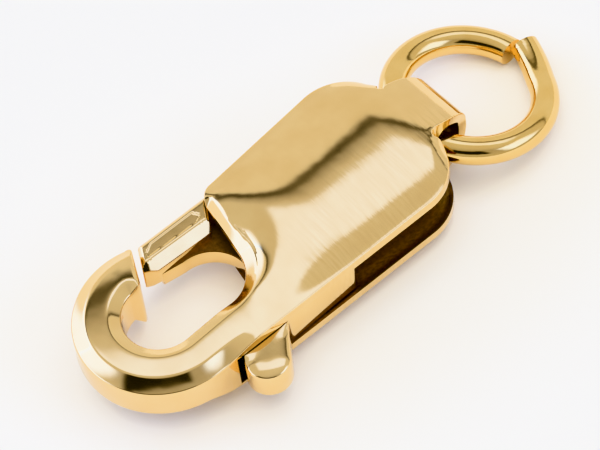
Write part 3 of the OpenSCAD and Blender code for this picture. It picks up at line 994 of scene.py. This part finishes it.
def ring_tree():
    """Nodes that sweep a round wire along a circle whose last stretch springs outwards."""
    tree = bpy.data.node_groups.new("Cut jump ring", "GeometryNodeTree")
    face = tree.interface
    sockets = {"Float": ("Radius", "Wire", "Cut", "Gap", "Flare start", "Flare out", "Flare up"),
               "Int": ("Along", "Around"), "Material": ("Material",)}
    for kind, names in sockets.items():
        for name in names:
            face.new_socket(name, in_out="INPUT", socket_type="NodeSocket" + kind)
    face.new_socket("Geometry", in_out="OUTPUT", socket_type="NodeSocketGeometry")
    given = node(tree, "NodeGroupInput").outputs
    link = tree.links.new

    def sum_of(a, b, operation="ADD"):
        made = node(tree, "ShaderNodeMath", operation=operation)
        for socket, value in zip(made.inputs, (a, b)):
            if isinstance(value, float):
                socket.default_value = value
            else:
                link(value, socket)
        return made.outputs[0]

    path = node(tree, "GeometryNodeCurvePrimitiveLine", mode="POINTS")
    points = node(tree, "GeometryNodeResampleCurve", mode="COUNT")
    link(path.outputs[0], points.inputs["Curve"])
    link(given["Along"], points.inputs["Count"])
    share = node(tree, "GeometryNodeSplineParameter").outputs["Factor"]
    start = sum_of(given["Cut"], given["Gap"])
    span = sum_of(2 * math.pi, sum_of(given["Gap"], 2.0, "MULTIPLY"), "SUBTRACT")
    turn = sum_of(start, sum_of(share, span, "MULTIPLY"))
    left = sum_of(sum_of(1.0, share, "SUBTRACT"), span, "MULTIPLY")
    flare = node(tree, "ShaderNodeMapRange", interpolation_type="LINEAR", clamp=True)
    link(left, flare.inputs["Value"])
    link(given["Flare start"], flare.inputs["From Min"])
    flare.inputs["From Max"].default_value = 0.0
    flare.inputs["To Min"].default_value = 0.0
    flare.inputs["To Max"].default_value = 1.0
    bend = sum_of(flare.outputs["Result"], FLARE_POWER, "POWER")
    radius = sum_of(given["Radius"], sum_of(bend, given["Flare out"], "MULTIPLY"))
    place = node(tree, "ShaderNodeCombineXYZ")
    link(sum_of(radius, sum_of(turn, 0.0, "COSINE"), "MULTIPLY"), place.inputs["X"])
    link(sum_of(radius, sum_of(turn, 0.0, "SINE"), "MULTIPLY"), place.inputs["Y"])
    link(sum_of(bend, given["Flare up"], "MULTIPLY"), place.inputs["Z"])
    moved = node(tree, "GeometryNodeSetPosition")
    link(points.outputs["Curve"], moved.inputs["Geometry"])
    link(place.outputs[0], moved.inputs["Position"])
    section = node(tree, "GeometryNodeCurvePrimitiveCircle")
    link(given["Wire"], section.inputs["Radius"])
    link(given["Around"], section.inputs["Resolution"])
    swept = node(tree, "GeometryNodeCurveToMesh", {"Fill Caps": True})
    link(moved.outputs["Geometry"], swept.inputs["Curve"])
    link(section.outputs["Curve"], swept.inputs["Profile Curve"])
    real = node(tree, "GeometryNodeRealizeInstances")
    link(swept.outputs["Mesh"], real.inputs["Geometry"])
    finish = node(tree, "GeometryNodeSetMaterial")
    link(real.outputs["Geometry"], finish.inputs["Geometry"])
    link(given["Material"], finish.inputs["Material"])
    link(finish.outputs["Geometry"], node(tree, "NodeGroupOutput").inputs["Geometry"])
    return tree


class CLASP_OT_ring(bpy.types.Operator):
    """Sweeps the jump ring, cut open at its far side with one end sprung outwards"""
    bl_idname = "clasp.ring"
    bl_label = "Jump ring"

    def execute(self, context):
        s = settings("jump_ring_parts")
        tree = ring_tree()
        mesh = bpy.data.meshes.new("jump_ring_wire")
        source = bpy.data.objects.new("ring_source", mesh)
        context.scene.collection.objects.link(source)
        modifier = source.modifiers.new("Sweep", "NODES")
        modifier.node_group = tree
        values = {"Radius": s.radius, "Wire": s.wire, "Cut": math.pi + s.cut_angle, "Gap": s.cut_gap,
                  "Flare start": s.flare_start, "Flare out": s.flare_out, "Flare up": s.flare_up,
                  "Along": s.along, "Around": s.around, "Material": material("drawn_gold_wire")}
        for item in tree.interface.items_tree:
            if item.in_out == "INPUT":
                modifier[item.identifier] = values[item.name]
        source.update_tag()
        evaluated = source.evaluated_get(context.evaluated_depsgraph_get())
        wire = bpy.data.meshes.new_from_object(evaluated)
        source.modifiers.remove(modifier)
        bpy.data.objects.remove(source)
        self.shear(wire, s)
        tilt = math.asin((MID_Z - s.wire - RING_LIFT) / (2 * s.radius - SWING_BACK))
        turn = Matrix.Rotation(-tilt, 4, "Y")
        place = Matrix.Translation(RING_AXIS) @ turn @ Matrix.Translation((SWING_BACK - s.radius, 0, 0))
        wire.transform(place)
        piece = bpy.data.objects.new("jump_ring_wire", wire)
        context.scene.collection.objects.link(piece)
        wire.polygons.foreach_set("use_smooth", [True] * len(wire.polygons))
        wire.set_sharp_from_angle(angle=math.radians(35))
        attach(piece, "ring")
        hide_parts("jump_ring")
        return {"FINISHED"}

    def shear(self, wire, s):
        """Slants both cut ends, as flush cutters leave them."""
        points = np.empty(len(wire.vertices) * 3)
        wire.vertices.foreach_get("co", points)
        points = points.reshape(-1, 3)
        cut = math.pi + s.cut_angle
        along = np.array([-math.sin(cut), math.cos(cut), 0])
        away = np.array([math.cos(cut), math.sin(cut), 0])
        turn = np.arctan2(points[:, 1], points[:, 0]) % (2 * math.pi)
        for sign, slant in CUT_SLANTS:
            gap = (turn - cut) * sign - s.cut_gap
            ends = np.abs(gap) < END_FACE
            radial = points[ends] @ away - (s.radius + (s.flare_out if sign < 0 else 0))
            points[ends] -= along[None] * (radial * slant)[:, None] * sign
        wire.vertices.foreach_set("co", points.ravel())
        wire.update()


class CLASP_OT_finishes(bpy.types.Operator):
    """Makes the polished gold, the unpolished gold with its painted shade, the drawn gold wire and the
    table's finish
    """
    bl_idname = "clasp.finishes"
    bl_label = "Finishes"

    def execute(self, context):
        s = settings("finishes")
        polished_gold(s)
        unpolished_gold_painted_shade(s)
        drawn_gold_wire(s)
        white_table(settings("stage_parts"))
        frame["nodes"]["pivot_pin"].material_slots[0].material = material("drawn_gold_wire")
        return {"FINISHED"}


def material(name):
    """A finish by its name."""
    return bpy.data.materials[name]


def new_material(name):
    """A new node material, with its tree, its shader and its object coordinates."""
    made = bpy.data.materials.new(name)
    made.use_nodes = True
    tree = made.node_tree
    shader = tree.nodes["Principled BSDF"]
    coords = tree.nodes.new("ShaderNodeTexCoord").outputs["Object"]
    return made, tree, shader, coords


def streaks(tree, coords, scale, detail=2.0):
    """Noise over object coordinates, stretched by a scale for each direction."""
    mapping = node(tree, "ShaderNodeMapping", {"Scale": scale})
    tree.links.new(coords, mapping.inputs["Vector"])
    noise = node(tree, "ShaderNodeTexNoise", {"Scale": 1.0, "Detail": detail, "Roughness": 0.55})
    tree.links.new(mapping.outputs[0], noise.inputs["Vector"])
    return noise.outputs["Fac"]


def spread(tree, value, low, high, to_low, to_high):
    """Maps a value from one range to another."""
    limits = {"From Min": low, "From Max": high, "To Min": to_low, "To Max": to_high}
    made = node(tree, "ShaderNodeMapRange", limits)
    tree.links.new(value, made.inputs["Value"])
    return made.outputs["Result"]


def two_tones(tree, tone, shares, factor):
    """A colour that shifts by a factor towards given shares of its red, green and blue."""
    made = node(tree, "ShaderNodeMix", data_type="RGBA")
    made.inputs["A"].default_value = tone
    made.inputs["B"].default_value = tuple(c * share for c, share in zip(tone, (*shares, 1)))
    tree.links.new(factor, made.inputs["Factor"])
    return made


def relief(tree, height, millimetres, normal):
    """Adds relief of a given depth to a normal socket."""
    bump = node(tree, "ShaderNodeBump", {"Strength": 1.0, "Distance": millimetres * MM})
    tree.links.new(height, bump.inputs["Height"])
    tree.links.new(bump.outputs["Normal"], normal)
    return bump


def cloud(tree, coords, per_mm, detail):
    """Soft noise, alike in all directions, with so many swells in a millimetre."""
    return streaks(tree, coords, (per_mm / MM, per_mm / MM, per_mm / MM), detail)


def polished_gold(s):
    """Polished cast gold: a clear mirror with a faint haze, and fine marks where it was buffed."""
    _, tree, shader, coords = new_material("polished_gold")
    link = tree.links.new
    shader.inputs["Metallic"].default_value = 1.0
    per_mm = 1 / MM
    fine = streaks(tree, coords, (per_mm / s.scratch_mm, per_mm * 0.9, per_mm * 2), 3.0)
    haze = cloud(tree, coords, 0.9, 2.0)
    link(spread(tree, haze, 0.3, 0.7, s.roughness * 0.8, s.roughness * 1.35), shader.inputs["Roughness"])
    tone = two_tones(tree, s.gold, (0.95, 0.91, 0.84), spread(tree, haze, 0.35, 0.75, 0, 1))
    parts = node(tree, "ShaderNodeSeparateXYZ")
    link(coords, parts.inputs[0])
    patch = node(tree, "ShaderNodeMath", operation="MULTIPLY")
    across, along = [[edge * MM for edge in STRETCHES[name]] for name in ("marks across", "marks along")]
    link(spread(tree, parts.outputs["Y"], *across, 0.1, 1.0), patch.inputs[0])
    link(spread(tree, parts.outputs["X"], *along, 1.0, 0.15), patch.inputs[1])
    marked = node(tree, "ShaderNodeMath", operation="MULTIPLY")
    link(patch.outputs[0], marked.inputs[0])
    link(spread(tree, fine, 0.42, 0.66, 0, 1), marked.inputs[1])
    marks = two_tones(tree, s.gold, (0.93, 0.9, 0.85), marked.outputs[0])
    link(tone.outputs["Result"], marks.inputs["A"])
    link(marks.outputs["Result"], shader.inputs["Base Color"])
    scratches = relief(tree, fine, 0.0024, shader.inputs["Normal"])
    link(patch.outputs[0], scratches.inputs["Strength"])
    relief(tree, haze, 0.007, scratches.inputs["Normal"])


def unpolished_gold_painted_shade(s):
    """Unpolished metal inside the clasp: dull and a little grainy where no buff reaches, its dark brown
    colour painted shade of the recesses.
    """
    _, tree, shader, coords = new_material("unpolished_gold_painted_shade")
    link = tree.links.new
    shader.inputs["Metallic"].default_value = 1.0
    shader.inputs["Specular Tint"].default_value = s.inner_gold_painted_shade
    grain = cloud(tree, coords, 9, 3.0)
    link(spread(tree, grain, 0.3, 0.7, 0.3, 0.5), shader.inputs["Roughness"])
    tone = two_tones(tree, s.inner_gold_painted_shade, (0.6, 0.6, 0.6), spread(tree, grain, 0.35, 0.7, 0, 1))
    link(tone.outputs["Result"], shader.inputs["Base Color"])
    relief(tree, grain, 0.004, shader.inputs["Normal"])


def drawn_gold_wire(s):
    """Drawn gold wire: a smooth mirror with a faint haze."""
    _, tree, shader, coords = new_material("drawn_gold_wire")
    link = tree.links.new
    shader.inputs["Metallic"].default_value = 1.0
    haze = cloud(tree, coords, 1.3, 3.0)
    link(spread(tree, haze, 0.3, 0.7, s.roughness * 0.7, s.roughness * 1.3), shader.inputs["Roughness"])
    tone = two_tones(tree, s.wire_gold, (0.95, 0.9, 0.8), spread(tree, haze, 0.35, 0.75, 0, 1))
    link(tone.outputs["Result"], shader.inputs["Base Color"])
    relief(tree, haze, 0.006, shader.inputs["Normal"])


def white_table(s):
    """Smooth matt white board, with a very faint grain."""
    _, tree, shader, coords = new_material("white_table")
    grain = streaks(tree, coords, (180, 180, 180), 2.0)
    tone = two_tones(tree, s.table, (0.985, 0.985, 0.985), grain)
    tree.links.new(tone.outputs["Result"], shader.inputs["Base Color"])
    shader.inputs["Roughness"].default_value = 0.8
    shader.inputs["Specular IOR Level"].default_value = 0.1


class CLASP_OT_stage(bpy.types.Operator):
    """Sets the white table, the soft studio light and the camera"""
    bl_idname = "clasp.stage"
    bl_label = "Stage"

    def execute(self, context):
        s = settings("stage_parts")
        mesh = bpy.data.meshes.new("table_top")
        reach = s.table_reach
        corners = [(-reach, -reach, 0), (reach, -reach, 0), (reach, reach, 0), (-reach, reach, 0)]
        mesh.from_pydata(corners, [], [(0, 1, 2, 3)])
        table = bpy.data.objects.new("table_top", mesh)
        context.scene.collection.objects.link(table)
        mesh.materials.append(material("white_table"))
        self.light(context, s)
        self.camera(context, s)
        return {"FINISHED"}

    def camera(self, context, s):
        """The camera at the photograph's angle."""
        level = math.cos(s.elevation)
        back = Vector((math.sin(s.azimuth) * level, -math.cos(s.azimuth) * level, math.sin(s.elevation)))
        data = bpy.data.cameras.new("view")
        data.lens = s.lens
        data.sensor_width = 36
        data.clip_start = 0.005
        data.clip_end = 20
        camera = bpy.data.objects.new("view", data)
        context.scene.collection.objects.link(camera)
        target = Vector((s.aim_x, s.aim_y, MID_Z))
        turn = back.to_track_quat("Z", "Y").to_matrix() @ Matrix.Rotation(s.roll, 3, "Z")
        camera.matrix_world = Matrix.Translation(target + back * s.distance) @ turn.to_4x4()
        context.scene.camera = camera

    def light(self, context, s):
        """Soft light from all round, brighter overhead, with dark gaps between the panels."""
        world = bpy.data.worlds.new("studio")
        context.scene.world = world
        world.use_nodes = True
        tree = world.node_tree
        link = tree.links.new
        background = tree.nodes["Background"]
        way = node(tree, "ShaderNodeTexCoord").outputs["Generated"]
        camera_way = Vector((math.sin(s.azimuth), -math.cos(s.azimuth), 0))

        def along(vector):
            dot = node(tree, "ShaderNodeVectorMath", operation="DOT_PRODUCT")
            link(way, dot.inputs[0])
            dot.inputs[1].default_value = vector
            return dot.outputs["Value"]

        def math_node(operation, a, b):
            made = node(tree, "ShaderNodeMath", operation=operation)
            for socket, value in zip(made.inputs, (a, b)):
                if isinstance(value, (int, float)):
                    socket.default_value = value
                else:
                    link(value, socket)
            return made.outputs[0]

        def window(value, low, high, soft):
            sides = []
            for edge, before, after in ((low, 0.0, 1.0), (high, 1.0, 0.0)):
                limits = {"From Min": edge - soft, "From Max": edge + soft,
                          "To Min": before, "To Max": after}
                side = node(tree, "ShaderNodeMapRange", limits, interpolation_type="SMOOTHSTEP")
                link(value, side.inputs["Value"])
                sides.append(side.outputs["Result"])
            return math_node("MULTIPLY", *sides)

        up = along((0, 0, 1))
        far = along(-camera_way)
        to_degrees = 180 / math.pi
        sweep = math_node("MULTIPLY", math_node("ARCTAN2", up, far), to_degrees)
        band = node(tree, "ShaderNodeValToRGB")
        elements = band.color_ramp.elements
        while len(elements) < len(SKY):
            elements.new(0.5)
        for element, (degrees, level) in zip(elements, SKY):
            element.position = degrees / 180
            element.color = (level, level, level, 1)
        link(math_node("DIVIDE", sweep, 180), band.inputs["Fac"])
        height = math_node("MULTIPLY", math_node("ARCSINE", up, 0), to_degrees)
        plan = math_node("MULTIPLY", math_node("ARCTAN2", along((0, 1, 0)), along((1, 0, 0))), to_degrees)
        sideways = along((-camera_way.y, camera_way.x, 0))
        across = math_node("MULTIPLY", math_node("ARCSINE", sideways, 0), to_degrees)
        panels = math_node("MULTIPLY", window(sweep, *OVERHEAD[:3]), window(across, *OVERHEAD[3:]))
        panels = math_node("MULTIPLY", panels, s.softbox)
        for low, high, left, right, soft, strength in SIDE_PANELS:
            level = window(height, low, high, soft)
            panel = math_node("MULTIPLY", level, window(plan, left, right, soft * 2))
            panels = math_node("ADD", panels, math_node("MULTIPLY", panel, strength))
        dark = math_node("MULTIPLY", window(height, *DARK_GAP[:3]), window(plan, *DARK_GAP[3:6]))
        shown = math_node("SUBTRACT", 1.0, math_node("MULTIPLY", dark, DARK_GAP[6]))
        colour_sum = node(tree, "ShaderNodeVectorMath", operation="MULTIPLY_ADD")
        link(panels, colour_sum.inputs[0])
        colour_sum.inputs[1].default_value = s.panel_colour[:3]
        link(band.outputs["Color"], colour_sum.inputs[2])
        link(colour_sum.outputs["Vector"], background.inputs["Color"])
        link(shown, background.inputs["Strength"])
        lamp = bpy.data.lights.new("table_light", "SUN")
        lamp.energy = s.table_light
        lamp.angle = s.table_light_spread
        lamp.color = s.table_light_colour[:3]
        sun = bpy.data.objects.new("table_light", lamp)
        context.scene.collection.objects.link(sun)
        sun.visible_glossy = False
        context.scene.view_settings.view_transform = "Khronos PBR Neutral"
        context.scene.view_settings.look = "None"


class CLASP_PT_panel(bpy.types.Panel):
    """Lists the clasp's sizes and its build steps"""
    bl_idname = "CLASP_PT_panel"
    bl_label = "Lobster clasp"
    bl_space_type = "VIEW_3D"
    bl_region_type = "UI"
    bl_category = "Clasp"

    def draw(self, context):
        for group, operator in STEPS:
            box = self.layout.box()
            values = getattr(context.scene, group)
            for name in values.bl_rna.properties.keys():
                if name not in ("rna_type", "name"):
                    box.prop(values, name)
            self.layout.operator(operator)


GROUPS = {
    "clasp_body": ClaspBodySettings,
    "lever_parts": LeverSettings,
    "jump_ring_parts": JumpRingSettings,
    "finishes": FinishSettings,
    "stage_parts": StageSettings,
}
STEPS = (("finishes", "clasp.finishes"), ("clasp_body", "clasp.body"), ("lever_parts", "clasp.lever"),
         ("jump_ring_parts", "clasp.ring"), ("stage_parts", "clasp.stage"))
OPERATORS = (CLASP_OT_finishes, CLASP_OT_body, CLASP_OT_lever, CLASP_OT_ring, CLASP_OT_stage)


def register():
    """Registers the settings, the operators and the panel."""
    for cls in (*GROUPS.values(), *OPERATORS, CLASP_PT_panel):
        bpy.utils.register_class(cls)
    for name, group in GROUPS.items():
        setattr(bpy.types.Scene, name, bpy.props.PointerProperty(type=group))


def unregister():
    """Removes what register added."""
    for name in GROUPS:
        delattr(bpy.types.Scene, name)
    for cls in reversed((*GROUPS.values(), *OPERATORS, CLASP_PT_panel)):
        bpy.utils.unregister_class(cls)


def main():
    """Builds the clasp and its stage."""
    register()
    bpy.ops.clasp.finishes()
    bpy.ops.clasp.body()
    bpy.ops.clasp.lever()
    bpy.ops.clasp.ring()
    bpy.ops.clasp.stage()


if __name__ == "__main__":
    main()
